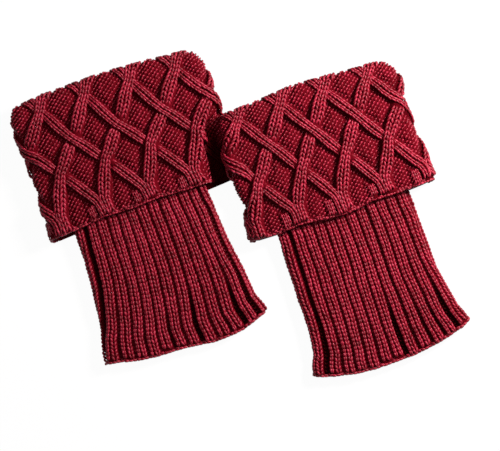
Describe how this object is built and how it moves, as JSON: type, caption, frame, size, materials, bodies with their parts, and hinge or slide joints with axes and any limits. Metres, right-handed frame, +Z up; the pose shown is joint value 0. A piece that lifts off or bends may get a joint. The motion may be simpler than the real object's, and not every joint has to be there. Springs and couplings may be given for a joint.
{
  "type": "pair of knitted boot cuffs",
  "caption": "Knitted boot cuffs laid flat side by side: flared ribbed tubes whose wide raised diamond-lattice bands are turned down over them, one band tucked under the other",
  "frame": {"origin": "On the floor, under the middle of the pair's bounding box", "axes": "+X runs across the pair from the left cuff to the right one, +Y towards the folded tops, and +Z is up from the floor the cuffs lie on"},
  "size_m": [0.3196, 0.2298, 0.018],
  "materials": {
    "yarn": "burgundy plied knitting yarn, matt with a slight sheen"
  },
  "bodies": {
    "root": {"left_turndown_band": "yarn", "left_rib_tube": "yarn", "right_turndown_band": "yarn", "right_rib_tube": "yarn"}
  },
  "joints": []
}
